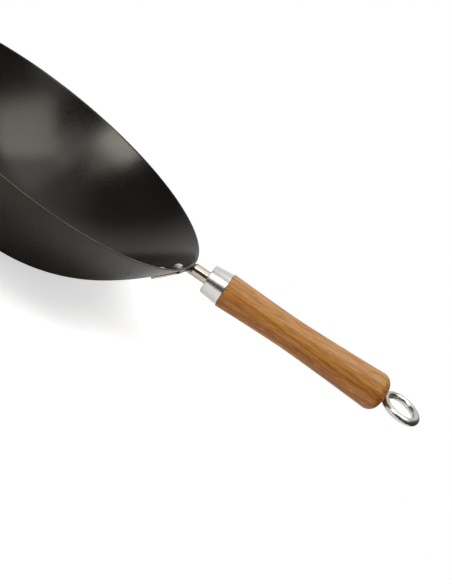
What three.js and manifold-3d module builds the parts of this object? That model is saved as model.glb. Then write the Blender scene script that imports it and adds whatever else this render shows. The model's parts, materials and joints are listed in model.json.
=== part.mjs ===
// Flat-based wok with a riveted plate bracket, a wooden grip in a metal ferrule and a hanging eye.
// Millimetres, +Z up. The origin is the centre of the flat base's underside; the handle points along +X.
import * as THREE from 'three';
import { mergeVertices } from 'three/addons/utils/BufferGeometryUtils.js';
import Module from 'manifold-3d';

const wasm = await Module();
wasm.setup();

// Bowl: a spun steel sheet. The outside runs from the rim down two tangent arcs and a fillet to the base.
// A lean is the wall's angle from upright, in degrees.
const RIM_R = 150;
const RIM_LEAN = 29;
const UPPER_ARC_R = 258;
const MID_LEAN = 44;
const LOWER_ARC_R = 152;
const FOOT_LEAN = 66;
const FOOT_FILLET_R = 10;
const BOWL_WALL = 1.5;

// Clearances
const FIT = 0.3;

// Eye bolt: a ring on a long tie rod that runs through the grip
const EYE_R = 15.4;
const EYE_WIRE_R = 3.35;
const EYE_TURN = 9.5;
const EYE_SINK = 0.4;
const ROD_R = 2.5;
const ROD_PAST_INSERT = 1.2;

// Threaded insert in the end of the neck, which takes the tie rod
const INSERT_WALL = 0.9;
const INSERT_LEN = 14;

// Bracket: a shouldered plate on the wall with a round neck welded on at a slant
const PLATE_T = 1.8;
const PLATE_HALF_W = 15;
const PLATE_CORNER_R = 2.4;
const PLATE_BELOW_RIVET = 5.5;
const SHOULDER_ABOVE_RIVET = 4;
const NECK_ABOVE_RIVET = 11.3;
const NECK_WALL = 1.8;
const NECK_IN_GRIP = 25;
const WELD_R = 0.7;
const HANDLE_RISE = 10.25;

// Rivets: one above the other on the handle's centre plane, measured along the wall from the rim
const RIVET_DROP = 15;
const RIVET_PITCH = 15.5;
const RIVET_R = 2.2;
const RIVET_HEAD_R = 4.8;
const RIVET_HEAD_H = 2.5;
const RIVET_TAIL_R = 3.2;
const RIVET_TAIL_H = 1.2;

// Ferrule: a tapered cap between the neck and the grip
const FERRULE_FROM_RIM = 15.8;
const FERRULE_SMALL_R = 13.2;
const FERRULE_LARGE_R = 14.95;
const FERRULE_LEN = 17;
const FERRULE_WALL = 1;
const FERRULE_EDGE = 0.5;

// Grip: turned wood with a waist and a rounded butt, which has a flat land round the eye's dished seat
const GRIP_LEN = 161.5;
const GRIP_FRONT_R = 15.7;
const GRIP_FRONT_EDGE = 0.6;
const GRIP_WAIST_R = 14.15;
const GRIP_WAIST_AT = 64.5;
const GRIP_BUTT_R = 17.3;
const GRIP_BUTT_LAND = 2.8;
const GRIP_FLARE_POWER = 1.4;

// Facets
const BOWL_SIDES = 64;
const GRIP_SIDES = 36;
const SMALL_SIDES = 24;

// Sizes that follow from the fits
const INSERT_R = ROD_R + FIT + INSERT_WALL;
const NECK_R = INSERT_R + FIT + NECK_WALL;
const EYE_REACH = EYE_R + EYE_WIRE_R;
const DISH_BALL_R = EYE_REACH + FIT;
const DISH_R = Math.sqrt(DISH_BALL_R ** 2 - (EYE_REACH - EYE_SINK) ** 2);
const GRIP_BUTT_ROUND = GRIP_BUTT_R - DISH_R - GRIP_BUTT_LAND;

const rad = (angle) => angle * Math.PI / 180;
const degrees = (angle) => angle * 180 / Math.PI;
const lerp = (a, b, t) => a + (b - a) * t;
const steps = (n) => Array.from({ length: n + 1 }, (_, i) => i / n);

// A closed geometry as a solid for joining and cutting
function solid(geometry) {
  const bare = geometry.clone();
  bare.deleteAttribute('normal');
  bare.deleteAttribute('uv');
  const merged = mergeVertices(bare, 1e-4);
  const all = merged.index.array;
  const kept = [];
  for (let i = 0; i < all.length; i += 3) {
    const [a, b, c] = [all[i], all[i + 1], all[i + 2]];
    if (a !== b && b !== c && c !== a) kept.push(a, b, c);
  }
  return new wasm.Manifold(new wasm.Mesh({
    numProp: 3,
    vertProperties: Float32Array.from(merged.attributes.position.array),
    triVerts: Uint32Array.from(kept),
  }));
}

function piece(name, body, look) {
  const mesh = body.getMesh();
  const geometry = new THREE.BufferGeometry();
  geometry.setAttribute('position', new THREE.BufferAttribute(mesh.vertProperties, 3));
  geometry.setIndex(new THREE.BufferAttribute(mesh.triVerts, 1));
  geometry.computeVertexNormals();
  const made = new THREE.Mesh(geometry, new THREE.MeshStandardMaterial(look));
  made.name = name;
  return made;
}

// A profile of [radius, height] points turned about Z, outside going up
function turned(profile, sides) {
  const points = profile.map(([r, z]) => new THREE.Vector2(r, z));
  return new THREE.LatheGeometry(points, sides).rotateX(Math.PI / 2);
}

// The bowl's outside wall by lean, as [radius, height below the rim]
function outerByLean(lean) {
  const upperEnd = Math.min(lean, MID_LEAN);
  let r = RIM_R - UPPER_ARC_R * (Math.cos(rad(RIM_LEAN)) - Math.cos(rad(upperEnd)));
  let z = -UPPER_ARC_R * (Math.sin(rad(upperEnd)) - Math.sin(rad(RIM_LEAN)));
  if (lean > MID_LEAN) {
    const lowerEnd = Math.min(lean, FOOT_LEAN);
    r -= LOWER_ARC_R * (Math.cos(rad(MID_LEAN)) - Math.cos(rad(lowerEnd)));
    z -= LOWER_ARC_R * (Math.sin(rad(lowerEnd)) - Math.sin(rad(MID_LEAN)));
  }
  if (lean > FOOT_LEAN) {
    r -= FOOT_FILLET_R * (Math.cos(rad(FOOT_LEAN)) - Math.cos(rad(lean)));
    z -= FOOT_FILLET_R * (Math.sin(rad(lean)) - Math.sin(rad(FOOT_LEAN)));
  }
  return [r, z];
}

const RIM_Z = -outerByLean(90)[1];

function bowlProfile() {
  const leans = [
    ...steps(4).slice(0, -1).map((t) => lerp(90, FOOT_LEAN, t)),
    ...steps(7).slice(0, -1).map((t) => lerp(FOOT_LEAN, MID_LEAN, t)),
    ...steps(8).map((t) => lerp(MID_LEAN, RIM_LEAN, t)),
  ];
  const at = (lean, inward) => {
    const [r, z] = outerByLean(lean);
    return [r - inward * Math.cos(rad(lean)), RIM_Z + z + inward * Math.sin(rad(lean))];
  };
  const outside = leans.map((lean) => at(lean, 0));
  const lip = degrees(Math.asin(Math.sin(rad(RIM_LEAN)) * UPPER_ARC_R / (UPPER_ARC_R - BOWL_WALL)));
  const inside = [...leans.slice(0, -1), lip].map((lean) => at(lean, BOWL_WALL)).reverse();
  return [[0, 0], ...outside, ...inside, [0, BOWL_WALL]];
}

// The plate is level across and curved up the wall. It is placed in the frame of the plane that touches
// the wall midway between the rivets: x across, y up the wall and z out from it.
const SEAT_LEAN = RIM_LEAN + degrees((RIVET_DROP + RIVET_PITCH / 2) / UPPER_ARC_R);
const [seatR, seatZ] = outerByLean(SEAT_LEAN);
const seatFrame = new THREE.Matrix4().makeBasis(
  new THREE.Vector3(0, 1, 0),
  new THREE.Vector3(Math.sin(rad(SEAT_LEAN)), 0, Math.cos(rad(SEAT_LEAN))),
  new THREE.Vector3(Math.cos(rad(SEAT_LEAN)), 0, -Math.sin(rad(SEAT_LEAN))),
).setPosition(seatR, 0, RIM_Z + seatZ);
const PLATE_BACK = FIT;
const PLATE_FRONT = PLATE_BACK + PLATE_T;
const NECK_Y = RIVET_PITCH / 2 + NECK_ABOVE_RIVET;
const wallBow = (y) => y * y / (2 * UPPER_ARC_R);

function plateGeometry() {
  const low = -RIVET_PITCH / 2 - PLATE_BELOW_RIVET;
  const shoulder = RIVET_PITCH / 2 + SHOULDER_ABOVE_RIVET;
  const [w, c] = [PLATE_HALF_W, PLATE_CORNER_R];
  const sideYs = steps(5).map((t) => lerp(low + c, shoulder - c, t));
  const outline = new THREE.Shape();
  outline.moveTo(-w + c, low);
  outline.lineTo(w - c, low);
  outline.absarc(w - c, low + c, c, -Math.PI / 2, 0);
  sideYs.slice(1).forEach((y) => outline.lineTo(w, y));
  outline.quadraticCurveTo(w, shoulder, w - c, shoulder + c);
  outline.lineTo(NECK_R, NECK_Y + NECK_R / 4);
  outline.lineTo(-NECK_R, NECK_Y + NECK_R / 4);
  outline.lineTo(-w + c, shoulder + c);
  outline.quadraticCurveTo(-w, shoulder, -w, shoulder - c);
  sideYs.slice(0, -1).reverse().forEach((y) => outline.lineTo(-w, y));
  outline.absarc(-w + c, low + c, c, Math.PI, Math.PI * 1.5);
  const plate = new THREE.ExtrudeGeometry(outline, {
    depth: PLATE_T,
    bevelEnabled: false,
    curveSegments: 5,
  });
  plate.translate(0, 0, PLATE_BACK);
  const at = plate.attributes.position;
  for (let i = 0; i < at.count; i += 1) {
    at.setZ(i, at.getZ(i) - wallBow(at.getY(i)));
  }
  return plate;
}

// The neck leaves the plate at this angle from its face, in the plate's own frame
const NECK_SLANT = rad(90 - SEAT_LEAN - HANDLE_RISE);
const neckAlong = new THREE.Vector3(0, Math.cos(NECK_SLANT), Math.sin(NECK_SLANT));
const neckUp = new THREE.Vector3(0, Math.sin(NECK_SLANT), -Math.cos(NECK_SLANT));
const neckFoot = new THREE.Vector3(0, NECK_Y, PLATE_BACK);

// A point on a round of radius r about the neck's axis, where it stands `out` clear of the plate's back
function onNeck(r, angle, out) {
  const p = neckFoot.clone().addScaledVector(neckUp, r * Math.sin(angle));
  p.x += r * Math.cos(angle);
  for (let i = 0; i < 6; i += 1) {
    p.addScaledVector(neckAlong, (PLATE_BACK + out - wallBow(p.y) - p.z) / neckAlong.z);
  }
  return p;
}

function ring(place) {
  return steps(SMALL_SIDES).slice(0, -1).map((t) => place(t * 2 * Math.PI));
}

const square = (r, along) => ring((angle) => {
  const p = neckFoot.clone().addScaledVector(neckUp, r * Math.sin(angle));
  p.x += r * Math.cos(angle);
  return p.addScaledVector(neckAlong, along);
});

// A closed skin over a row of rings with equal counts, capped flat at both ends
function loft(rings) {
  const n = rings[0].length;
  const middle = (points) => points.reduce((sum, p) => sum.add(p), new THREE.Vector3()).divideScalar(n);
  const points = [...rings.flat(), middle(rings[0]), middle(rings.at(-1))];
  const index = [];
  const last = (rings.length - 1) * n;
  for (let j = 0; j < n; j += 1) {
    const k = (j + 1) % n;
    for (let i = 0; i < last; i += n) {
      index.push(i + j, i + k, i + n + k);
      index.push(i + j, i + n + k, i + n + j);
    }
    index.push(points.length - 2, k, j);
    index.push(points.length - 1, last + j, last + k);
  }
  const geometry = new THREE.BufferGeometry().setFromPoints(points);
  geometry.setIndex(index);
  return geometry;
}

// The neck's length is counted along its axis from the plate's back face
const rimInSeat = new THREE.Vector3(RIM_R, 0, RIM_Z).applyMatrix4(seatFrame.clone().invert());
const RIM_ALONG = rimInSeat.sub(neckFoot).dot(neckAlong);
const FERRULE_AT = RIM_ALONG + FERRULE_FROM_RIM;
const NECK_LEN = FERRULE_AT + FERRULE_LEN + NECK_IN_GRIP;

// The weld's fillet runs round the neck's foot where the plate is, and fades out above the shoulders
function neckSolid() {
  const lowSide = (angle) => 1 - THREE.MathUtils.smoothstep(Math.sin(angle), -0.1, 0.5);
  const fillet = (angle, t) => WELD_R * lowSide(angle) * (1 - Math.sqrt(1 - (1 - t) ** 2));
  const foot = ring((angle) => onNeck(NECK_R + fillet(angle, 0), angle, 0));
  const flare = [0, 0.2, 0.5, 1].map((t) => ring((angle) => (
    onNeck(NECK_R + fillet(angle, t), angle, PLATE_T + t * WELD_R)
  )));
  const bore = ring((angle) => onNeck(NECK_R - NECK_WALL, angle, PLATE_T));
  const tube = loft([foot, ...flare, square(NECK_R, NECK_LEN)]);
  const hollow = loft([bore, square(NECK_R - NECK_WALL, NECK_LEN + 1)]);
  return solid(tube).subtract(solid(hollow));
}

// Rivets: turned about the plate's z, with the head inside the bowl and the tail on the plate.
// The head's flat back clears the wall's curve both along it and across it.
const acrossBow = (x) => x * x / (2 * RIM_R);
const headBow = wallBow(RIVET_PITCH / 2 + RIVET_HEAD_R) + acrossBow(RIVET_HEAD_R);
const HEAD_SEAT = -BOWL_WALL - headBow - FIT / 2;
const TAIL_SEAT = PLATE_FRONT + FIT;

function dome(r, h, z, way) {
  const ball = (r * r + h * h) / (2 * h);
  const sweep = Math.asin(Math.min(1, r / ball));
  return steps(5).map((t) => {
    const a = sweep * (1 - t);
    return [ball * Math.sin(a), z + way * (ball * Math.cos(a) - ball + h)];
  });
}

function rivetGeometry() {
  const head = dome(RIVET_HEAD_R, RIVET_HEAD_H, HEAD_SEAT, -1).reverse();
  const tail = dome(RIVET_TAIL_R, RIVET_TAIL_H, TAIL_SEAT, 1);
  return turned([...head, [RIVET_R, HEAD_SEAT], [RIVET_R, TAIL_SEAT], ...tail], SMALL_SIDES);
}

const rivetYs = [RIVET_PITCH / 2, -RIVET_PITCH / 2];
const rivetHoles = rivetYs.map((y) => {
  const r = RIVET_R + FIT;
  const reach = BOWL_WALL + PLATE_FRONT + RIVET_PITCH;
  const bar = new THREE.CylinderGeometry(r, r, reach, SMALL_SIDES).rotateX(Math.PI / 2);
  return bar.translate(0, y, 0);
});

function drill(body, frame) {
  const cut = (rest, hole) => rest.subtract(solid(hole.clone().applyMatrix4(frame)));
  return rivetHoles.reduce(cut, body);
}

// Handle pieces are turned about local Z, with z = 0 at the ferrule's small end
const GRIP_FROM = FERRULE_LEN + FIT;
const GRIP_TO = GRIP_FROM + GRIP_LEN;
const NECK_TO = FERRULE_LEN + NECK_IN_GRIP;
const RING_AT = GRIP_TO - EYE_SINK + EYE_REACH;
const ferruleInner = (z) => lerp(FERRULE_SMALL_R, FERRULE_LARGE_R, z / FERRULE_LEN) - FERRULE_WALL;

function ferruleProfile() {
  const hole = NECK_R + FIT;
  return [
    [hole, 0],
    [FERRULE_SMALL_R - FERRULE_EDGE, 0],
    [FERRULE_SMALL_R, FERRULE_EDGE],
    [FERRULE_LARGE_R, FERRULE_LEN],
    [ferruleInner(FERRULE_LEN), FERRULE_LEN],
    [ferruleInner(FERRULE_WALL), FERRULE_WALL],
    [hole, FERRULE_WALL],
    [hole, 0],
  ];
}

function gripOuter(z) {
  const roundFrom = GRIP_LEN - GRIP_BUTT_ROUND;
  if (z <= GRIP_WAIST_AT) {
    return lerp(GRIP_WAIST_R, GRIP_FRONT_R, (1 - z / GRIP_WAIST_AT) ** GRIP_FLARE_POWER);
  }
  const share = (z - GRIP_WAIST_AT) / (roundFrom - GRIP_WAIST_AT);
  return lerp(GRIP_WAIST_R, GRIP_BUTT_R, share ** GRIP_FLARE_POWER);
}

function gripProfile() {
  const spigotFrom = FERRULE_WALL + FIT;
  const socket = NECK_R + FIT;
  const bore = ROD_R + FIT;
  const roundFrom = GRIP_LEN - GRIP_BUTT_ROUND;
  const front = [
    [socket, spigotFrom],
    [ferruleInner(spigotFrom) - FIT, spigotFrom],
    [ferruleInner(FERRULE_LEN) - FIT, FERRULE_LEN],
    [ferruleInner(FERRULE_LEN) - FIT, GRIP_FROM],
    [GRIP_FRONT_R - GRIP_FRONT_EDGE, GRIP_FROM],
  ];
  const stations = [
    ...steps(7).map((t) => lerp(GRIP_FRONT_EDGE, GRIP_WAIST_AT, t)),
    ...steps(8).slice(1).map((t) => lerp(GRIP_WAIST_AT, roundFrom, t)),
  ];
  const body = stations.map((z) => [gripOuter(z), GRIP_FROM + z]);
  const butt = steps(7).slice(1).map((t) => [
    GRIP_BUTT_R - GRIP_BUTT_ROUND * (1 - Math.cos(t * Math.PI / 2)),
    GRIP_FROM + roundFrom + GRIP_BUTT_ROUND * Math.sin(t * Math.PI / 2),
  ]);
  const dish = steps(5).map((t) => {
    const r = lerp(DISH_R, bore, t);
    return [r, RING_AT - Math.sqrt(DISH_BALL_R ** 2 - r ** 2)];
  });
  const inside = [
    [bore, NECK_TO + FIT],
    [socket, NECK_TO + FIT],
    [socket, spigotFrom],
  ];
  return [...front, ...body, ...butt, ...dish, ...inside];
}

const ROD_FROM = NECK_TO - INSERT_LEN - ROD_PAST_INSERT;

function eyeSolid() {
  const ring = new THREE.TorusGeometry(EYE_R, EYE_WIRE_R, 16, 44).rotateY(Math.PI / 2);
  ring.translate(0, 0, RING_AT).rotateZ(rad(EYE_TURN));
  const rodTo = RING_AT - EYE_R;
  const rod = new THREE.CylinderGeometry(ROD_R, ROD_R, rodTo - ROD_FROM, SMALL_SIDES);
  rod.rotateX(Math.PI / 2).translate(0, 0, (rodTo + ROD_FROM) / 2);
  return solid(ring).add(solid(rod));
}

function insertProfile() {
  const bore = ROD_R + FIT;
  return [
    [bore, NECK_TO - INSERT_LEN],
    [INSERT_R, NECK_TO - INSERT_LEN],
    [INSERT_R, NECK_TO],
    [bore, NECK_TO],
    [bore, NECK_TO - INSERT_LEN],
  ];
}

// Looks
const coated = { color: 0x2b2a28, roughness: 0.42, metalness: 0.55 };
const nickel = { color: 0xc2b8a8, roughness: 0.2, metalness: 1 };
const bright = { color: 0xd2d2d0, roughness: 0.16, metalness: 1 };
const satin = { color: 0xd8d8d6, roughness: 0.24, metalness: 1 };
const oiled = { color: 0xa8682f, roughness: 0.5, metalness: 0 };

const bowl = piece('wok_bowl', drill(solid(turned(bowlProfile(), BOWL_SIDES)), seatFrame), coated);
const plateAndNeck = solid(plateGeometry()).add(neckSolid());
const bracket = piece('handle_bracket', drill(plateAndNeck, new THREE.Matrix4()), nickel);
const rivets = ['upper_rivet', 'lower_rivet'].map((name, i) => {
  const rivet = piece(name, solid(rivetGeometry()), bright);
  rivet.position.y = rivetYs[i];
  return rivet;
});

// The handle's frame: local Z along the neck's axis, from the ferrule's small end
const handle = new THREE.Group();
handle.position.copy(neckFoot).addScaledVector(neckAlong, FERRULE_AT);
handle.quaternion.setFromRotationMatrix(
  new THREE.Matrix4().makeBasis(neckUp.clone().negate(), new THREE.Vector3(1, 0, 0), neckAlong),
);
handle.add(
  piece('ferrule', solid(turned(ferruleProfile(), GRIP_SIDES)), satin),
  piece('wooden_grip', solid(turned(gripProfile(), GRIP_SIDES)), oiled),
  piece('threaded_insert', solid(turned(insertProfile(), SMALL_SIDES)), nickel),
  piece('hanging_eye', eyeSolid(), bright),
);

// All but the bowl is placed from the plate's seat on the wall
const seated = new THREE.Group();
seated.applyMatrix4(seatFrame);
seated.add(bracket, ...rivets, handle);

const wok = new THREE.Group();
wok.add(bowl, seated);

export default wok;
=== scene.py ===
"""A flat-based wok: spun bowl, riveted bracket, ferrule, turned wooden grip and hanging eye."""

import json
import math

import bmesh
import bpy
from mathutils import Matrix, Vector


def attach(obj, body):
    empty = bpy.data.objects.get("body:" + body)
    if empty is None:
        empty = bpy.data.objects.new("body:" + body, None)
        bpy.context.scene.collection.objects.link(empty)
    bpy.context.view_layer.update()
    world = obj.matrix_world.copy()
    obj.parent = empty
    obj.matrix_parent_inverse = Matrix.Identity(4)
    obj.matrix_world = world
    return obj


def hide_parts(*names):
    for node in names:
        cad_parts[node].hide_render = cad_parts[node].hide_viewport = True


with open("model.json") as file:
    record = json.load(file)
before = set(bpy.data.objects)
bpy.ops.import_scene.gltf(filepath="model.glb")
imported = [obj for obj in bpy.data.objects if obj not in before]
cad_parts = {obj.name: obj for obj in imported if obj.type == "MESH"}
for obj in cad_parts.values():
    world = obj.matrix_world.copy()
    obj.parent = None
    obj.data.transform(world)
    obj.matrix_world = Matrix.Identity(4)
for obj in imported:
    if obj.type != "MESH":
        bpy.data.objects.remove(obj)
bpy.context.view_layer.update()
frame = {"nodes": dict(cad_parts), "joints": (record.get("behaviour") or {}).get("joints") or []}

MM = 0.001
MILLIMETRES = Matrix.Scale(MM, 4)


def cos(degrees):
    return math.cos(math.radians(degrees))


def sin(degrees):
    return math.sin(math.radians(degrees))


def mix(low, high, share):
    return low + (high - low) * share


# Sizes in millimetres and degrees, as in the solids. A lean is the wall's angle from upright.
RIM_R = 150.0
RIM_LEAN, MID_LEAN, FOOT_LEAN, BASE_LEAN = 29.0, 44.0, 66.0, 90.0
UPPER_ARC_R, LOWER_ARC_R, FOOT_FILLET_R = 258.0, 152.0, 10.0
BOWL_WALL = 1.5
FIT = 0.3

PLATE_T, PLATE_HALF_W, PLATE_CORNER_R = 1.8, 15.0, 2.4
PLATE_BELOW_RIVET, SHOULDER_ABOVE_RIVET, NECK_ABOVE_RIVET = 5.5, 4.0, 11.3
NECK_WALL, NECK_IN_GRIP = 1.8, 25.0
WELD_R = 0.7
HANDLE_RISE = 10.25

RIVET_DROP, RIVET_PITCH, RIVET_R = 15.0, 15.5, 2.2
RIVET_HEAD_R, RIVET_HEAD_H, RIVET_TAIL_R, RIVET_TAIL_H = 4.8, 2.5, 3.2, 1.2

FERRULE_SMALL_R, FERRULE_LARGE_R, FERRULE_LEN, FERRULE_WALL = 13.2, 14.95, 17.0, 1.0

GRIP_LEN = 161.5
GRIP_FRONT_R, GRIP_WAIST_R, GRIP_WAIST_AT, GRIP_BUTT_R = 15.7, 14.15, 64.5, 17.3
GRIP_BUTT_LAND, GRIP_FLARE_POWER = 2.8, 1.4

EYE_R, EYE_WIRE_R, EYE_TURN, EYE_SINK = 15.4, 3.35, 9.5, 0.4
ROD_R, ROD_PAST_INSERT = 2.5, 1.2
INSERT_WALL, INSERT_LEN = 0.9, 14.0

# The bowl's arcs from the rim down: the leans that each runs between, its radius and its steps
BOWL_ARCS = (
    (RIM_LEAN, MID_LEAN, UPPER_ARC_R, 26),
    (MID_LEAN, FOOT_LEAN, LOWER_ARC_R, 24),
    (FOOT_LEAN, BASE_LEAN, FOOT_FILLET_R, 8),
)

# Sizes that follow from those. Places along the handle are from the ferrule's small end.
RIM_Z = sum(radius * (sin(end) - sin(start)) for start, end, radius, _ in BOWL_ARCS)
INSERT_R = ROD_R + FIT + INSERT_WALL
NECK_BORE_R = INSERT_R + FIT
NECK_R = NECK_BORE_R + NECK_WALL
NECK_TO = FERRULE_LEN + NECK_IN_GRIP
ROD_FROM = NECK_TO - INSERT_LEN - ROD_PAST_INSERT
GRIP_FROM = FERRULE_LEN + FIT
EYE_REACH = EYE_R + EYE_WIRE_R
DISH_BALL_R = EYE_REACH + FIT
DISH_R = math.sqrt(DISH_BALL_R**2 - (EYE_REACH - EYE_SINK) ** 2)
GRIP_TO = GRIP_FROM + GRIP_LEN
RING_AT = GRIP_TO - EYE_SINK + EYE_REACH
BUTT_ROUND = GRIP_BUTT_R - DISH_R - GRIP_BUTT_LAND

# Edge roundings and chamfers, and the gap from a rounding to the ring that keeps its highlight crisp
RIM_ROUND, PLATE_EDGE, NECK_CHAMFER, RIVET_EDGE = 0.28, 0.2, 0.5, 0.25
FERRULE_EDGE, FERRULE_MOUTH_EDGE, FERRULE_HOLE_EDGE = 0.6, 0.2, 0.25
GRIP_FRONT_EDGE, DISH_EDGE, ROD_CHAMFER = 0.6, 0.25, 0.4
SUPPORT_GAP = 0.1
RIM_EDGE_DEPTH = 1.2 * RIM_ROUND

# The weld fades out on the neck's upper side, between these sines of the angle round the neck
WELD_FADE = (-0.1, 0.5)

# Facets
BOWL_SIDES, HANDLE_SIDES, NECK_SIDES, RIVET_SIDES, ROD_SIDES = 256, 128, 72, 64, 48
RING_SIDES, WIRE_SIDES = 144, 48
PLATE_CUTS, WELD_STEPS, FERRULE_STEPS, GRIP_STEPS = 16, 6, 6, 48
MERGE_GAP, NEAR = 1e-4, 1e-3
SHADE_SHARP, PLATE_SHARP = 35, 60

# The bowl's finishes, in the order in which its mesh takes them
INSIDE, OUTSIDE, RIM_EDGE = 0, 1, 2

# Colours of the finishes
# The second nickel colour is painted shade: the dark bowl mirrored on the neck's root
NICKEL, NICKEL_PAINTED_SHADE = (0.595, 0.505, 0.42), (0.048, 0.036, 0.027)
RIM_COATED, RIM_WORN = (0.01, 0.009, 0.008, 1), (0.07, 0.064, 0.056, 1)
WOOD_TONES = (
    (0.0, (0.275, 0.085, 0.0117)),
    (0.35, (0.49, 0.18, 0.0265)),
    (0.65, (0.555, 0.25, 0.06)),
    (1.0, (0.54, 0.268, 0.088)),
)
WOOD_LIGHT_PORE, WOOD_DARK_PORE = (0.57, 0.29, 0.1, 1), (0.37, 0.148, 0.032, 1)
WOOD_SHADED, WOOD_LIT = (0.73, 0.65, 0.54, 1), (1.25, 1.31, 1.43, 1)
# Tint of the grip's last few millimetres: partly the end grain's own darker tone, partly painted shade
# on the butt
WOOD_BUTT_TINT_AND_SHADE = (0.6, 0.52, 0.42, 1)

# Painted shade in the throat of the neck's weld, standing for the dark bowl mirrored there, along the
# handle and across it; and the depth of the end grain's tint, which is partly painted shade
PAINTED_SHADE_ALONG, PAINTED_SHADE_ACROSS = (-15.0, -13.0), (1.2, 2.8)
BUTT_TINT_AND_SHADE_DEPTH = 9.0

# The wood's heart beside the grip, in metres, and its growth lines. It lies off the grip's lower front,
# so the darker tone there is partly the wood's own and partly painted shade
WOOD_HEART_SHADED_SIDE = (0.017, -0.020, 0)
GROWTH_LINES = 2600.0

# Hairlines on bright metal
HAIRLINES = 2000.0

# The photograph's camera, in metres, pixels and degrees
IMAGE_W, IMAGE_H = 452, 584
FOCAL_PIXELS = 701.957
CAMERA_AT = Vector((153.417, -568.507, 265.425)) * MM
CAMERA_AZIMUTH, CAMERA_ELEVATION, CAMERA_ROLL = -3.211, 17.115, 44.734

# The room's glow: its dim front, its sides and its bright end
ROOM_DIM, ROOM_SIDE, ROOM_BRIGHT = 0.048, 0.1, 0.72
BRIGHT_AZIMUTH = -160
OVERHEAD_SHARE, WHITE_IN_GLOSS = 0.8, 0.3

# The floor: an oval under the object, in metres
FLOOR_R, FLOOR_STRETCH, FLOOR_SHIFT, FLOOR_DROP = 0.8, (0.8125, 0.525), -0.05, 0.0002
FLOOR_SIDES = 96
# The second floor colour is a painted shadow under the bowl, seen in glossy reflections
FLOOR_PALE, FLOOR_PAINTED_SHADOW = (0.86, 0.86, 0.85, 1), (0.5, 0.46, 0.41, 1)
FLOOR_BOUNCE, FLOOR_LIFT = 0.22, 0.62

# Name, place in metres, azimuth and elevation, width, height and radiance
LAMPS = (
    ("front_softbox", (-0.402, -0.919, 0.97), -31, 39, 0.64, 1.0, 1.56),
    ("front_tube", (-0.505, -0.938, 1.25), -6, 46, 0.69, 0.33, 5.9),
    ("bridge_softbox", (0.04, -0.56, 1.33), -5, 66, 0.4, 0.36, 1.2),
    ("right_softbox", (0.5, -0.1, 1.33), 74, 74, 0.9, 0.6, 2.5),
    ("top_softbox", (0.2, 0, 0.85), 90, 86, 0.55, 0.6, 0.85),
    ("low_strip", (-0.5, -0.8, 0.18), -45, 0, 0.4, 0.32, 1.4),
    ("side_softbox", (0.87, -0.6, 0.97), 40, 42, 0.75, 0.42, 0.95),
)


# The seat is the plane that touches the wall midway between the rivets: x across, y up the wall, z out
SEAT_LEAN = RIM_LEAN + math.degrees((RIVET_DROP + RIVET_PITCH / 2) / UPPER_ARC_R)
SEAT_X = RIM_R - UPPER_ARC_R * (cos(RIM_LEAN) - cos(SEAT_LEAN))
SEAT_Z = RIM_Z - UPPER_ARC_R * (sin(SEAT_LEAN) - sin(RIM_LEAN))
SEAT = Matrix(
    (
        (0, sin(SEAT_LEAN), cos(SEAT_LEAN), SEAT_X),
        (1, 0, 0, 0),
        (0, cos(SEAT_LEAN), -sin(SEAT_LEAN), SEAT_Z),
        (0, 0, 0, 1),
    )
)

# The handle's z is the line that the eye turns on, from the ferrule's small end
hinge = frame["joints"][0]
handle_z = Vector(hinge["axis"]).normalized()
handle_y = Vector((0, 1, 0))
handle_x = handle_y.cross(handle_z)
HANDLE = Matrix((handle_x, handle_y, handle_z)).transposed().to_4x4()
HANDLE.translation = Vector(hinge["pos_m"]) / MM


def edges_of(geometry):
    return [g for g in geometry if isinstance(g, bmesh.types.BMEdge)]


def verts_of(geometry):
    return [g for g in geometry if isinstance(g, bmesh.types.BMVert)]


def wire(bm, points, start=None):
    """A run of edges through (radius, height) points, on from start. Returns its last vertex."""
    last = start
    for radius, height in points:
        vert = bm.verts.new((radius, 0, height))
        if last is not None:
            bm.edges.new((last, vert))
        last = vert
    return last


def arc(bm, start, centre, degrees, steps):
    """Carries a wire on round a (radius, height) centre. Returns its last vertex."""
    made = bmesh.ops.spin(
        bm,
        geom=[start],
        cent=(centre[0], 0, centre[1]),
        axis=(0, 1, 0),
        dvec=(0, 0, 0),
        angle=math.radians(degrees),
        steps=steps,
        use_duplicate=False,
    )
    return verts_of(made["geom_last"])[0]


def turn(bm, steps, centre=(0, 0, 0), axis=(0, 0, 1)):
    """Spins the wire in bm about an axis into a closed body."""
    bmesh.ops.spin(
        bm,
        geom=bm.verts[:] + bm.edges[:],
        cent=centre,
        axis=axis,
        dvec=(0, 0, 0),
        angle=2 * math.pi,
        steps=steps,
        use_merge=True,
        use_duplicate=False,
    )
    bmesh.ops.remove_doubles(bm, verts=bm.verts[:], dist=MERGE_GAP)
    bmesh.ops.recalc_face_normals(bm, faces=bm.faces[:])


def ring_edges(bm, radius, height):
    """The edges of a turned body that run round it at one radius and height."""

    def there(vert):
        return abs(vert.co.xy.length - radius) < NEAR and abs(vert.co.z - height) < NEAR

    return [e for e in bm.edges if there(e.verts[0]) and there(e.verts[1])]


def round_edges(bm, edges, radius, segments):
    bmesh.ops.bevel(
        bm,
        geom=edges,
        offset=radius,
        offset_type="OFFSET",
        affect="EDGES",
        segments=segments,
        profile=0.5,
        material=-1,
        clamp_overlap=True,
    )


def mesh_of(name, bm, place):
    """Turns bm, in millimetres at a place, into a mesh in metres."""
    bmesh.ops.transform(bm, matrix=MILLIMETRES @ place, verts=bm.verts[:])
    mesh = bpy.data.meshes.new(name)
    bm.to_mesh(mesh)
    bm.free()
    return mesh


def show(name, data):
    made = bpy.data.objects.new(name, data)
    bpy.context.scene.collection.objects.link(made)
    return made


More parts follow.
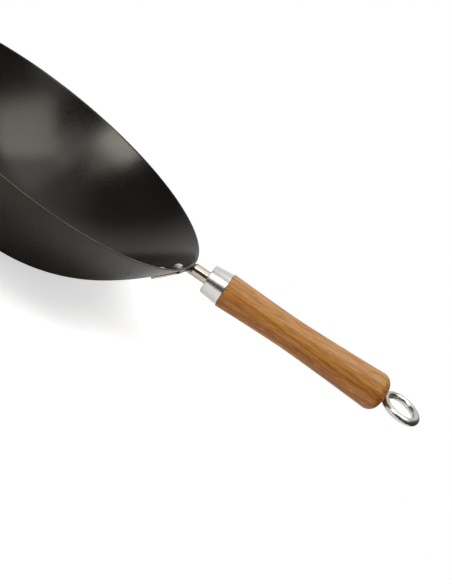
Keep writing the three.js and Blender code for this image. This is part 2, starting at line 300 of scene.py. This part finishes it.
def fused(name, first, second):
    """One skin round two closed meshes that reach into each other."""
    base, tool = show(name + ".base", first), show(name + ".tool", second)
    join = base.modifiers.new("join", "BOOLEAN")
    join.operation, join.solver, join.object = "UNION", "EXACT", tool
    depsgraph = bpy.context.evaluated_depsgraph_get()
    mesh = bpy.data.meshes.new_from_object(base.evaluated_get(depsgraph))
    mesh.name = name
    bpy.data.objects.remove(base)
    bpy.data.objects.remove(tool)
    return mesh


def dress(name, mesh, node, body, slot, *finishes):
    """Makes the shown piece that stands for a CAD node, with its finishes."""
    for finish in finishes:
        mesh.materials.append(finish)
    mesh.shade_smooth()
    mesh.set_sharp_from_angle(angle=math.radians(SHADE_SHARP))
    made = show(name, mesh)
    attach(made, body)
    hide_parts(node)


def bowl_mesh():
    """Both skins follow the same three arcs down to the base, one wall apart, from a level rim."""
    centre_r = RIM_R - UPPER_ARC_R * cos(RIM_LEAN)
    centre_z = RIM_Z + UPPER_ARC_R * sin(RIM_LEAN)
    inner_arc_r = UPPER_ARC_R - BOWL_WALL
    inner_lean = math.degrees(math.asin(sin(RIM_LEAN) * UPPER_ARC_R / inner_arc_r))
    inner_rim_r = centre_r + inner_arc_r * cos(inner_lean)
    bm = bmesh.new()
    rims = []
    for rim_r, lean in ((RIM_R, RIM_LEAN), (inner_rim_r, inner_lean)):
        vert = wire(bm, [(rim_r, RIM_Z)])
        rims.append(vert)
        centre, last_r = Vector((centre_r, centre_z)), UPPER_ARC_R
        for _, end, radius, steps in BOWL_ARCS:
            centre += Vector((cos(lean), -sin(lean))) * (last_r - radius)
            vert = arc(bm, vert, centre, end - lean, steps)
            lean, last_r = end, radius
        wire(bm, [(vert.co.x * share, vert.co.z) for share in (0.75, 0.5, 0.25, 0)], vert)
    bm.edges.new(rims)
    turn(bm, BOWL_SIDES)
    for rim_r in (RIM_R, inner_rim_r):
        round_edges(bm, ring_edges(bm, rim_r, RIM_Z), RIM_ROUND, segments=3)
    bm.normal_update()
    for face in bm.faces:
        middle = face.calc_center_median()
        inwards = Vector((-middle.x, -middle.y, RIM_R))
        if middle.z > RIM_Z - RIM_EDGE_DEPTH:
            face.material_index = RIM_EDGE
        elif face.normal.dot(inwards) < 0:
            face.material_index = OUTSIDE
        else:
            face.material_index = INSIDE
    return mesh_of("spun_bowl", bm, Matrix())


def wall_bow(y):
    """How far the wall falls back from the seat's plane, up the wall."""
    return y * y / (2 * UPPER_ARC_R)


def plate_mesh():
    """The bracket's plate: a shouldered outline made thick, rounded and bowed to the wall."""
    low = -RIVET_PITCH / 2 - PLATE_BELOW_RIVET
    shoulder = RIVET_PITCH / 2 + SHOULDER_ABOVE_RIVET
    top = RIVET_PITCH / 2 + NECK_ABOVE_RIVET + NECK_R / 4
    half = ((PLATE_HALF_W, low), (PLATE_HALF_W, shoulder), (NECK_R, top))
    outline = half + tuple((-x, y) for x, y in reversed(half))
    bm = bmesh.new()
    face = bm.faces.new([bm.verts.new((x, y, FIT)) for x, y in outline])
    made = bmesh.ops.extrude_face_region(bm, geom=[face])["geom"]
    bmesh.ops.translate(bm, verts=verts_of(made), vec=(0, 0, PLATE_T))
    bmesh.ops.recalc_face_normals(bm, faces=bm.faces[:])
    corners = [e for e in bm.edges if abs(e.verts[0].co.z - e.verts[1].co.z) > PLATE_T / 2]
    wide = [e for e in corners if abs(e.verts[0].co.x) > PLATE_HALF_W / 2]
    round_edges(bm, wide, PLATE_CORNER_R, segments=6)
    outer = [e for e in bm.edges if e.calc_face_angle(0) > math.radians(PLATE_SHARP)]
    round_edges(bm, outer, PLATE_EDGE, segments=2)
    for cut in range(1, PLATE_CUTS):
        bmesh.ops.bisect_plane(
            bm,
            geom=bm.verts[:] + bm.edges[:] + bm.faces[:],
            plane_co=(0, mix(low, top, cut / PLATE_CUTS), 0),
            plane_no=(0, 1, 0),
        )
    for vert in bm.verts:
        vert.co.z -= wall_bow(vert.co.y)
    return mesh_of("plate", bm, SEAT)


def neck_mesh():
    """The neck: rings carried from the weld on the plate to its open end and back down its bore."""
    slant = 90 - SEAT_LEAN - HANDLE_RISE
    along = Vector((0, cos(slant), sin(slant)))
    up = Vector((0, sin(slant), -cos(slant)))
    foot = Vector((0, RIVET_PITCH / 2 + NECK_ABOVE_RIVET, FIT))
    length = (HANDLE.translation - SEAT @ foot).length + NECK_TO

    def about(radius, angle, far):
        across = Vector((radius * math.cos(angle), 0, 0))
        return foot + across + up * (radius * math.sin(angle)) + along * far

    def on_plate(radius, angle, out):
        """Slides a point along the neck until it is that far out from the plate's back."""
        point = about(radius, angle, 0)
        for _ in range(6):
            point += along * ((FIT + out - wall_bow(point.y) - point.z) / along.z)
        return point

    def weld(angle, rise):
        """How far the weld's fillet stands out from the neck."""
        fade_from, fade_to = WELD_FADE
        share = min(1, max(0, (math.sin(angle) - fade_from) / (fade_to - fade_from)))
        low_side = 1 - share * share * (3 - 2 * share)
        return WELD_R * low_side * (1 - math.sqrt(1 - (1 - rise) ** 2))

    def flare(rise):
        return lambda angle: on_plate(NECK_R + weld(angle, rise), angle, PLATE_T + rise * WELD_R)

    places = [lambda angle: on_plate(NECK_R + weld(angle, 0), angle, 0)]
    places += [flare(step / WELD_STEPS) for step in range(WELD_STEPS + 1)]
    places += [lambda angle: about(NECK_R, angle, length - NECK_CHAMFER)]
    places += [lambda angle: about(NECK_R - NECK_CHAMFER, angle, length)]
    places += [lambda angle: about(NECK_BORE_R, angle, length)]
    places += [lambda angle: on_plate(NECK_BORE_R, angle, PLATE_T)]

    bm = bmesh.new()
    around = bm.verts.layers.float.new("around")
    circle = bmesh.ops.create_circle(bm, cap_ends=False, segments=NECK_SIDES, radius=1)
    verts = circle["verts"]
    for vert in verts:
        vert[around] = math.atan2(vert.co.y, vert.co.x)
    edges = first = bm.edges[:]
    for step, place in enumerate(places):
        if step:
            made = bmesh.ops.extrude_edge_only(bm, edges=edges)["geom"]
            edges, verts = edges_of(made), verts_of(made)
        for vert in verts:
            vert.co = place(vert[around])
    for end in (first, edges):
        bmesh.ops.contextual_create(bm, geom=end)
    bmesh.ops.recalc_face_normals(bm, faces=bm.faces[:])
    return mesh_of("neck", bm, SEAT)


def rivet_mesh(name, y):
    """A rivet through wall and plate: a domed head inside the bowl and a flatter tail outside."""
    head_bow = wall_bow(RIVET_PITCH / 2 + RIVET_HEAD_R) + RIVET_HEAD_R**2 / (2 * RIM_R)
    head_seat, tail_seat = -BOWL_WALL - head_bow - FIT / 2, FIT + PLATE_T + FIT
    head_ball = (RIVET_HEAD_R**2 + RIVET_HEAD_H**2) / (2 * RIVET_HEAD_H)
    tail_ball = (RIVET_TAIL_R**2 + RIVET_TAIL_H**2) / (2 * RIVET_TAIL_H)
    head_sweep = math.degrees(math.asin(RIVET_HEAD_R / head_ball))
    tail_sweep = math.degrees(math.asin(RIVET_TAIL_R / tail_ball))
    shank = [(RIVET_R, head_seat), (RIVET_R, tail_seat), (RIVET_TAIL_R, tail_seat)]
    bm = bmesh.new()
    vert = wire(bm, [(0, head_seat - RIVET_HEAD_H)])
    vert = arc(bm, vert, (0, head_seat - RIVET_HEAD_H + head_ball), -head_sweep, 12)
    vert = wire(bm, shank, vert)
    arc(bm, vert, (0, tail_seat + RIVET_TAIL_H - tail_ball), -tail_sweep, 8)
    turn(bm, RIVET_SIDES)
    round_edges(bm, ring_edges(bm, RIVET_HEAD_R, head_seat), RIVET_EDGE, segments=3)
    return mesh_of(name, bm, SEAT @ Matrix.Translation((0, y, 0)))


def ferrule_outside(z):
    return mix(FERRULE_SMALL_R, FERRULE_LARGE_R, z / FERRULE_LEN)


def ferrule_inside(z):
    return ferrule_outside(z) - FERRULE_WALL


def ferrule_mesh():
    """The ferrule: a tapered cap with a hole for the neck in its small end."""
    hole = NECK_R + FIT
    stations = [0, FERRULE_EDGE + SUPPORT_GAP]
    stations += [FERRULE_LEN * step / FERRULE_STEPS for step in range(1, FERRULE_STEPS)]
    stations += [FERRULE_LEN - FERRULE_MOUTH_EDGE - SUPPORT_GAP, FERRULE_LEN]
    outside = [(ferrule_outside(z), z) for z in stations]
    inside = [(ferrule_inside(z), z) for z in (FERRULE_LEN, FERRULE_WALL)]
    bm = bmesh.new()
    start = wire(bm, [(hole, 0)])
    bm.edges.new((wire(bm, outside + inside + [(hole, FERRULE_WALL)], start), start))
    turn(bm, HANDLE_SIDES)
    round_edges(bm, ring_edges(bm, FERRULE_SMALL_R, 0), FERRULE_EDGE, segments=5)
    round_edges(bm, ring_edges(bm, FERRULE_LARGE_R, FERRULE_LEN), FERRULE_MOUTH_EDGE, segments=3)
    round_edges(bm, ring_edges(bm, hole, 0), FERRULE_HOLE_EDGE, segments=3)
    return mesh_of("ferrule_cap", bm, HANDLE)


def grip_mesh():
    """The grip: a spigot in the ferrule, a waisted body, a rounded butt with its dish, and the bore."""
    round_from = GRIP_LEN - BUTT_ROUND
    spigot_from, socket, bore = FERRULE_WALL + FIT, NECK_R + FIT, ROD_R + FIT

    def outer(z):
        if z <= GRIP_WAIST_AT:
            share = (1 - z / GRIP_WAIST_AT) ** GRIP_FLARE_POWER
            return mix(GRIP_WAIST_R, GRIP_FRONT_R, share)
        share = (z - GRIP_WAIST_AT) / (round_from - GRIP_WAIST_AT)
        return mix(GRIP_WAIST_R, GRIP_BUTT_R, share**GRIP_FLARE_POWER)

    front = [
        (ferrule_inside(spigot_from) - FIT, spigot_from),
        (ferrule_inside(FERRULE_LEN) - FIT, FERRULE_LEN),
        (ferrule_inside(FERRULE_LEN) - FIT, GRIP_FROM),
    ]
    stations = [0, GRIP_FRONT_EDGE + 2 * SUPPORT_GAP]
    stations += [round_from * step / GRIP_STEPS for step in range(1, GRIP_STEPS + 1)]
    body = [(outer(z), GRIP_FROM + z) for z in stations]
    dish_sweep = math.asin(DISH_R / DISH_BALL_R) - math.asin(bore / DISH_BALL_R)
    socket_end = NECK_TO + FIT
    bm = bmesh.new()
    start = wire(bm, [(socket, spigot_from)])
    vert = wire(bm, front + body, start)
    vert = arc(bm, vert, (GRIP_BUTT_R - BUTT_ROUND, GRIP_FROM + round_from), -90, 14)
    vert = wire(bm, [(DISH_R, GRIP_TO)], vert)
    vert = arc(bm, vert, (0, RING_AT), math.degrees(dish_sweep), 10)
    vert = wire(bm, [(bore, socket_end), (socket, socket_end)], vert)
    bm.edges.new((vert, start))
    turn(bm, HANDLE_SIDES)
    round_edges(bm, ring_edges(bm, GRIP_FRONT_R, GRIP_FROM), GRIP_FRONT_EDGE, segments=4)
    round_edges(bm, ring_edges(bm, DISH_R, GRIP_TO), DISH_EDGE, segments=3)
    return mesh_of("turned_grip", bm, HANDLE)


def eye_mesh():
    """The eye bolt: a closed ring, turned as in the photograph, on its tie rod."""
    ring = bmesh.new()
    section = Matrix.Translation((0, EYE_R, RING_AT))
    bmesh.ops.create_circle(
        ring, cap_ends=False, segments=WIRE_SIDES, radius=EYE_WIRE_R, matrix=section
    )
    turn(ring, RING_SIDES, (0, 0, RING_AT), (1, 0, 0))
    turned = HANDLE @ Matrix.Rotation(math.radians(EYE_TURN), 4, "Z")
    rod_to = RING_AT - EYE_R
    tip = [(0, ROD_FROM), (ROD_R - ROD_CHAMFER, ROD_FROM), (ROD_R, ROD_FROM + ROD_CHAMFER)]
    rod = bmesh.new()
    wire(rod, tip + [(ROD_R, rod_to), (0, rod_to)])
    turn(rod, ROD_SIDES)
    return fused("eye_bolt", mesh_of("ring", ring, turned), mesh_of("rod", rod, HANDLE))


def add(tree, kind, inputs=None, **settings):
    """A node with its settings, and its inputs set to values or joined to sockets."""
    made = tree.nodes.new(kind)
    for key, value in settings.items():
        setattr(made, key, value)
    for key, value in (inputs or {}).items():
        if isinstance(value, bpy.types.NodeSocket):
            tree.links.new(value, made.inputs[key])
        else:
            made.inputs[key].default_value = value
    return made


def maths(tree, operation, first, second=0.5, third=0.5):
    inputs = {0: first, 1: second, 2: third}
    return add(tree, "ShaderNodeMath", inputs, operation=operation).outputs[0]


def vectors(tree, operation, first, second=(0, 0, 0)):
    """Works on vectors. Returns a number for a length or a dot product, and otherwise a vector."""
    made = add(tree, "ShaderNodeVectorMath", {0: first, 1: second}, operation=operation)
    return made.outputs["Value" if operation in ("LENGTH", "DOT_PRODUCT") else "Vector"]


def scaled(tree, vector, scale):
    return add(tree, "ShaderNodeMapping", {"Vector": vector, "Scale": scale}).outputs[0]


def ranged(tree, value, low, high, to_low=0.0, to_high=1.0, smooth=True):
    """Carries a value from one range to another, and holds it at the ends."""
    inputs = {"Value": value, "From Min": low, "From Max": high, "To Min": to_low, "To Max": to_high}
    kind = "SMOOTHSTEP" if smooth else "LINEAR"
    return add(tree, "ShaderNodeMapRange", inputs, interpolation_type=kind).outputs["Result"]


def between(tree, share, first, second):
    """A number between two others."""
    inputs = {0: share, 2: first, 3: second}
    return add(tree, "ShaderNodeMix", inputs, data_type="FLOAT").outputs[0]


def blended(tree, share, first, second, blend="MIX"):
    """A colour made of two others."""
    inputs = {0: share, 6: first, 7: second}
    return add(tree, "ShaderNodeMix", inputs, data_type="RGBA", blend_type=blend).outputs[2]


def noise(tree, vector, scale, detail=2.0, roughness=0.5):
    inputs = {"Vector": vector, "Scale": scale, "Detail": detail, "Roughness": roughness}
    return add(tree, "ShaderNodeTexNoise", inputs).outputs["Fac"]


def group(name, inputs, outputs):
    """An empty shader node group. Returns the tree, its inputs and its output node."""
    tree = bpy.data.node_groups.new(name, "ShaderNodeTree")
    for label, kind, value in inputs:
        socket = tree.interface.new_socket(label, in_out="INPUT", socket_type=kind)
        if value is not None:
            socket.default_value = value
    for label, kind in outputs:
        tree.interface.new_socket(label, in_out="OUTPUT", socket_type=kind)
    return tree, tree.nodes.new("NodeGroupInput").outputs, tree.nodes.new("NodeGroupOutput")


def placed(tree, kind, inputs):
    """A node group in a material, with its own values. Returns its outputs."""
    return add(tree, "ShaderNodeGroup", inputs, node_tree=kind).outputs


def speckle_group():
    """Sprayed coating: fine pits and lighter grains."""
    inputs = (("Vector", "NodeSocketVector", None), ("Size", "NodeSocketFloat", 900.0))
    outputs = (("Grains", "NodeSocketFloat"), ("Height", "NodeSocketFloat"))
    tree, given, out = group("sprayed_speckle", inputs, outputs)
    fine = noise(tree, given["Vector"], given["Size"], 2.0, 0.6)
    coarse = noise(tree, given["Vector"], maths(tree, "MULTIPLY", given["Size"], 0.37))
    both = maths(tree, "MULTIPLY_ADD", fine, 0.65, maths(tree, "MULTIPLY", coarse, 0.35))
    tree.links.new(ranged(tree, both, 0.42, 0.68), out.inputs["Grains"])
    tree.links.new(both, out.inputs["Height"])
    return tree


def handling_group():
    """Bright metal that has been handled: soft cloudy patches and fine hairlines along one way."""
    inputs = (
        ("Vector", "NodeSocketVector", None),
        ("Smooth", "NodeSocketFloat", 0.08),
        ("Dull", "NodeSocketFloat", 0.2),
    )
    outputs = (("Roughness", "NodeSocketFloat"), ("Height", "NodeSocketFloat"))
    tree, given, out = group("handled_metal", inputs, outputs)
    clouds = noise(tree, given["Vector"], 90.0, 3.0, 0.55)
    lines = noise(tree, scaled(tree, given["Vector"], (0.03, 0.03, 1.0)), HAIRLINES, 2.0, 0.6)
    share = maths(tree, "MULTIPLY_ADD", clouds, 0.7, maths(tree, "MULTIPLY", lines, 0.3))
    span = maths(tree, "SUBTRACT", given["Dull"], given["Smooth"])
    worn = ranged(tree, share, 0.35, 0.7)
    rough = maths(tree, "MULTIPLY_ADD", worn, span, given["Smooth"])
    tree.links.new(rough, out.inputs["Roughness"])
    tree.links.new(lines, out.inputs["Height"])
    return tree


SPECKLE, HANDLED = speckle_group(), handling_group()


def finish(name):
    """A new material. Returns it with its node tree, its shader and the piece's own coordinates."""
    made = bpy.data.materials.new(name)
    made.use_nodes = True
    tree = made.node_tree
    shader = tree.nodes["Principled BSDF"]
    place = tree.nodes.new("ShaderNodeTexCoord").outputs["Object"]
    return made, tree, shader, place


def along_handle(tree, place):
    """Coordinates in the handle's own frame, in metres: z along it."""
    inputs = {
        "Vector": place,
        "Location": HANDLE.translation * MM,
        "Rotation": HANDLE.to_euler(),
    }
    return add(tree, "ShaderNodeMapping", inputs, vector_type="TEXTURE").outputs[0]


def bump(tree, shader, height, depth, strength=1.0):
    inputs = {"Height": height, "Distance": depth, "Strength": strength}
    normal = add(tree, "ShaderNodeBump", inputs).outputs["Normal"]
    tree.links.new(normal, shader.inputs["Normal"])


def coating(name, dark, grain, rough, shine, warm, size, depth):
    """A sprayed coating: lighter grains on a dark ground, and a shine with a warm tint."""
    made, tree, shader, place = finish(name)
    speckle = placed(tree, SPECKLE, {"Vector": place, "Size": size})
    patches = ranged(tree, noise(tree, place, 14.0, 3.0), 0.3, 0.7, 0.75, 1.25)
    tone = blended(tree, speckle["Grains"], (*dark, 1), (*grain, 1))
    tone = blended(tree, 1.0, tone, patches, "MULTIPLY")
    tree.links.new(tone, shader.inputs["Base Color"])
    wear = maths(tree, "MULTIPLY_ADD", speckle["Grains"], 0.1, rough)
    tree.links.new(wear, shader.inputs["Roughness"])
    shader.inputs["Specular IOR Level"].default_value = shine
    shader.inputs["Specular Tint"].default_value = (*warm, 1)
    bump(tree, shader, speckle["Height"], depth)
    return made


def bright_metal(name, colour, smooth, dull, depth=5e-7, in_handle=True):
    """A bare metal whose roughness lies between smooth and dull, with hairlines of a depth."""
    made, tree, shader, place = finish(name)
    vector = along_handle(tree, place) if in_handle else place
    handled = placed(tree, HANDLED, {"Vector": vector, "Smooth": smooth, "Dull": dull})
    shader.inputs["Base Color"].default_value = (*colour, 1)
    shader.inputs["Metallic"].default_value = 1.0
    tree.links.new(handled["Roughness"], shader.inputs["Roughness"])
    bump(tree, shader, handled["Height"], depth)
    return made


def nickel_with_painted_shade():
    """Nickel plate, with painted shade in the throat of the neck's weld, where the dark bowl is
    mirrored.
    """
    made = bright_metal("nickel_plate", NICKEL, 0.13, 0.2, depth=2e-7)
    tree = made.node_tree
    place = tree.nodes.new("ShaderNodeTexCoord").outputs["Object"]
    way = add(tree, "ShaderNodeSeparateXYZ", {0: along_handle(tree, place)}).outputs
    # Painted shade and painted reflection: the neck's upper side by the weld is darkened
    near = ranged(tree, way["Z"], *(end * MM for end in PAINTED_SHADE_ALONG), 1.0, 0.0)
    below = ranged(tree, way["X"], *(end * MM for end in PAINTED_SHADE_ACROSS), 1.0, 0.0)
    tint = blended(tree, maths(tree, "MULTIPLY", near, below), (*NICKEL, 1), (*NICKEL_PAINTED_SHADE, 1))
    tree.links.new(tint, tree.nodes["Principled BSDF"].inputs["Base Color"])
    return made


def rim_steel():
    """The rim's cut edge: coating rubbed through to the steel in places."""
    made, tree, shader, place = finish("rim_edge")
    worn = ranged(tree, noise(tree, place, 60.0, 4.0, 0.6), 0.4, 0.62)
    tree.links.new(blended(tree, worn, RIM_COATED, RIM_WORN), shader.inputs["Base Color"])
    tree.links.new(ranged(tree, worn, 0, 1, 0.3, 1.0), shader.inputs["Metallic"])
    tree.links.new(ranged(tree, worn, 0, 1, 0.45, 0.3), shader.inputs["Roughness"])
    return made


def oiled_wood():
    """Straight-grained wood: a heart beside the grip whose darker lower front is partly painted shade,
    growth lines, fibres, pores and end grain, darkened partly by painted shade.
    """
    made, tree, shader, place = finish("oiled_wood")
    grip = along_handle(tree, place)

    def grain(scale, along, detail, roughness=0.5):
        """Noise drawn out along the grip, to that share of its scale."""
        return noise(tree, scaled(tree, grip, (1, 1, along)), scale, detail, roughness)

    drift = grain(60.0, along=0.12, detail=2.0)
    fibres = grain(720.0, along=0.075, detail=3.0, roughness=0.65)
    streaks = grain(330.0, along=0.035, detail=3.0, roughness=0.6)
    pores = ranged(tree, grain(900.0, along=0.17, detail=1.0, roughness=0.4), 0.57, 0.67)

    # Darker towards the heart, on the grip's lower front: partly the wood's own tone, partly painted
    # shade
    apart = vectors(tree, "SUBTRACT", grip, WOOD_HEART_SHADED_SIDE)
    heart = vectors(tree, "LENGTH", vectors(tree, "MULTIPLY", apart, (1, 1, 0.02)))
    wander = maths(tree, "MULTIPLY_ADD", drift, 0.012, heart)
    growth = maths(tree, "SINE", maths(tree, "MULTIPLY", wander, GROWTH_LINES))

    tone = ranged(tree, wander, 0.014, 0.042, smooth=False)
    tone = maths(tree, "MULTIPLY_ADD", growth, 0.035, tone)
    streaked = ranged(tree, streaks, 0.25, 0.75, -0.3, 0.3, smooth=False)
    tone = maths(tree, "ADD", tone, streaked)
    ramp = add(tree, "ShaderNodeValToRGB", {"Fac": tone})
    elements = ramp.color_ramp.elements
    elements[1].position = WOOD_TONES[-1][0]
    for position, _ in WOOD_TONES[1:-1]:
        elements.new(position)
    for element, (position, tint) in zip(elements, WOOD_TONES):
        element.position, element.color = position, (*tint, 1)

    lit = maths(tree, "MULTIPLY_ADD", streaks, 0.35, maths(tree, "MULTIPLY", fibres, 0.65))
    shade = blended(tree, ranged(tree, lit, 0.32, 0.68), WOOD_SHADED, WOOD_LIT)
    along = add(tree, "ShaderNodeSeparateXYZ", {0: grip}).outputs["Z"]
    # Darker towards the butt's end: partly end grain, partly painted shade
    ends = ranged(tree, along, (GRIP_TO - BUTT_TINT_AND_SHADE_DEPTH) * MM, GRIP_TO * MM)
    dashes = blended(tree, ranged(tree, tone, 0.25, 0.7), WOOD_LIGHT_PORE, WOOD_DARK_PORE)
    colour = blended(tree, maths(tree, "MULTIPLY", pores, 0.6), ramp.outputs["Color"], dashes)
    colour = blended(tree, 1.0, colour, shade, "MULTIPLY")
    colour = blended(tree, ends, colour, WOOD_BUTT_TINT_AND_SHADE, "MULTIPLY")
    tree.links.new(colour, shader.inputs["Base Color"])
    tree.links.new(ranged(tree, fibres, 0.3, 0.7, 0.36, 0.52), shader.inputs["Roughness"])
    shader.inputs["Specular IOR Level"].default_value = 0.34
    height = maths(tree, "SUBTRACT", maths(tree, "MULTIPLY", fibres, 0.4), pores)
    bump(tree, shader, height, 3e-5, strength=0.7)
    return made


def aim(azimuth, elevation):
    """The direction from the object to a place round it; azimuth 0 is in front, along -Y."""
    level = cos(elevation)
    return Vector((sin(azimuth) * level, -cos(azimuth) * level, sin(elevation)))


def make_camera():
    lens = bpy.data.cameras.new("camera")
    lens.sensor_width = 36.0
    lens.lens = FOCAL_PIXELS * lens.sensor_width / max(IMAGE_W, IMAGE_H)
    lens.clip_start, lens.clip_end = 0.01, 50.0
    made = show("camera", lens)
    turned = aim(CAMERA_AZIMUTH, CAMERA_ELEVATION).to_track_quat("Z", "Y").to_matrix().to_4x4()
    rolled = Matrix.Rotation(math.radians(CAMERA_ROLL), 4, "Z")
    made.matrix_world = Matrix.Translation(CAMERA_AT) @ turned @ rolled
    bpy.context.scene.camera = made


def make_lamp(name, place, azimuth, elevation, width, height, radiance):
    """A softbox at a place, square on to the given direction, as bright as its radiance says."""
    lamp = bpy.data.lights.new(name, "AREA")
    lamp.shape, lamp.size, lamp.size_y = "RECTANGLE", width, height
    lamp.energy = radiance * math.pi * width * height
    made = show(name, lamp)
    made.location = place
    made.rotation_euler = aim(azimuth, elevation).to_track_quat("Z", "Y").to_euler()


def make_world():
    """White to the camera; to the object a dim room, bright overhead and at the end behind it."""
    world = bpy.data.worlds.new("studio")
    bpy.context.scene.world = world
    world.use_nodes = True
    tree = world.node_tree
    tree.nodes.clear()
    way = add(tree, "ShaderNodeTexCoord").outputs["Generated"]
    level = vectors(tree, "NORMALIZE", vectors(tree, "MULTIPLY", way, (1, 1, 0)))
    towards = vectors(tree, "DOT_PRODUCT", level, aim(BRIGHT_AZIMUTH, 0))
    behind = ranged(tree, towards, 0.42, 0.95)
    height = add(tree, "ShaderNodeSeparateXYZ", {0: way}).outputs["Z"]
    overhead = maths(tree, "MULTIPLY", ranged(tree, height, 0.79, 1.0), OVERHEAD_SHARE)
    dim = ranged(tree, towards, 0.0, 0.45, ROOM_DIM, ROOM_SIDE)
    glow = between(tree, maths(tree, "MAXIMUM", behind, overhead), dim, ROOM_BRIGHT)
    path = add(tree, "ShaderNodeLightPath").outputs
    seen = maths(tree, "ADD", path["Is Glossy Ray"], path["Is Transmission Ray"])
    seen = maths(tree, "MULTIPLY", maths(tree, "MULTIPLY", seen, behind), WHITE_IN_GLOSS)
    seen = maths(tree, "MAXIMUM", path["Is Camera Ray"], seen)
    paint = {"Color": (1, 1, 1, 1)}
    soft = add(tree, "ShaderNodeBackground", paint | {"Strength": glow}).outputs[0]
    white = add(tree, "ShaderNodeBackground", paint | {"Strength": 1.0}).outputs[0]
    both = add(tree, "ShaderNodeMixShader", {0: seen, 1: soft, 2: white}).outputs[0]
    add(tree, "ShaderNodeOutputWorld", {"Surface": both})


def make_floor():
    """A pale oval that takes the object's shadow, shows a painted shadow under the bowl to glossy rays
    and, to the camera, fades to white at its edge.
    """
    stretch_x, stretch_y = FLOOR_STRETCH
    bm = bmesh.new()
    bmesh.ops.create_circle(bm, cap_ends=True, segments=FLOOR_SIDES, radius=FLOOR_R)
    bmesh.ops.scale(bm, verts=bm.verts[:], vec=(stretch_x, stretch_y, 1))
    bmesh.ops.translate(bm, verts=bm.verts[:], vec=(FLOOR_SHIFT, 0, -FLOOR_DROP))
    mesh = bpy.data.meshes.new("floor")
    bm.to_mesh(mesh)
    bm.free()
    made, tree, shader, place = finish("pale_floor")
    tree.nodes.remove(shader)
    path = add(tree, "ShaderNodeLightPath").outputs
    seen = path["Is Camera Ray"]
    inputs = {
        "Vector": place,
        "Location": (-FLOOR_SHIFT / stretch_x, 0, 0),
        "Scale": (1 / stretch_x, 1 / stretch_y, 1),
    }
    from_middle = vectors(tree, "LENGTH", add(tree, "ShaderNodeMapping", inputs).outputs[0])
    fade = maths(tree, "MULTIPLY", ranged(tree, from_middle, 0.4, 0.76), seen)
    from_bowl = vectors(tree, "LENGTH", place)
    # Painted shadow: to glossy rays the floor is darker near the bowl
    under = ranged(tree, from_bowl, 0.1, 0.15, 1.0, 0.0)
    damped = maths(tree, "MULTIPLY", path["Is Glossy Ray"], under)
    pale = blended(tree, damped, FLOOR_PALE, FLOOR_PAINTED_SHADOW)
    paper = add(tree, "ShaderNodeBsdfDiffuse", {"Color": pale}).outputs[0]
    bounce = ranged(tree, from_bowl, 0.12, 0.19, 0.0, FLOOR_BOUNCE)
    glow = between(tree, seen, bounce, FLOOR_LIFT)
    lift = add(tree, "ShaderNodeEmission", {"Strength": glow}).outputs[0]
    lit = add(tree, "ShaderNodeAddShader", {0: paper, 1: lift}).outputs[0]
    white = add(tree, "ShaderNodeEmission", {"Strength": 1.0}).outputs[0]
    surface = add(tree, "ShaderNodeMixShader", {0: fade, 1: lit, 2: white}).outputs[0]
    tree.links.new(surface, tree.nodes["Material Output"].inputs["Surface"])
    mesh.materials.append(made)
    show("floor", mesh)


bpy.context.scene.view_settings.view_transform = "Standard"
make_camera()
make_world()
make_floor()
for lamp in LAMPS:
    make_lamp(*lamp)

cooking_coat = coating(
    "cooking_coat",
    dark=(0.0083, 0.0071, 0.0056),
    grain=(0.0128, 0.0111, 0.0093),
    rough=0.17,
    shine=0.44,
    warm=(1, 0.94, 0.84),
    size=1200.0,
    depth=4e-5,
)
outer_coat = coating(
    "outer_coat",
    dark=(0.0055, 0.0045, 0.0036),
    grain=(0.0095, 0.008, 0.0064),
    rough=0.24,
    shine=0.38,
    warm=(1, 0.86, 0.66),
    size=1500.0,
    depth=2e-5,
)
nickel = nickel_with_painted_shade()
polished_cap = bright_metal("ferrule_metal", (0.76, 0.735, 0.705), 0.22, 0.28, depth=2e-7)
chrome = bright_metal("eye_chrome", (0.64, 0.625, 0.595), 0.24, 0.28, depth=2e-8)
rivet_steel = bright_metal("rivet_steel", (0.72, 0.705, 0.68), 0.38, 0.48, in_handle=False)
plain_steel = bright_metal("insert_steel", (0.55, 0.54, 0.52), 0.3, 0.45)

bowl_finishes = cooking_coat, outer_coat, rim_steel()
dress("spun_bowl", bowl_mesh(), "wok_bowl", "pan", "coating", *bowl_finishes)
bracket = fused("welded_bracket", plate_mesh(), neck_mesh())
dress("welded_bracket", bracket, "handle_bracket", "pan", "nickel", nickel)
for node, y in (("upper_rivet", RIVET_PITCH / 2), ("lower_rivet", -RIVET_PITCH / 2)):
    dress(node + "_domed", rivet_mesh(node, y), node, "pan", "rivet_steel", rivet_steel)
dress("ferrule_cap", ferrule_mesh(), "ferrule", "pan", "ferrule_metal", polished_cap)
dress("turned_grip", grip_mesh(), "wooden_grip", "pan", "wood", oiled_wood())
dress("eye_bolt", eye_mesh(), "hanging_eye", "eye", "eye_chrome", chrome)
frame["nodes"]["threaded_insert"].material_slots[0].material = plain_steel
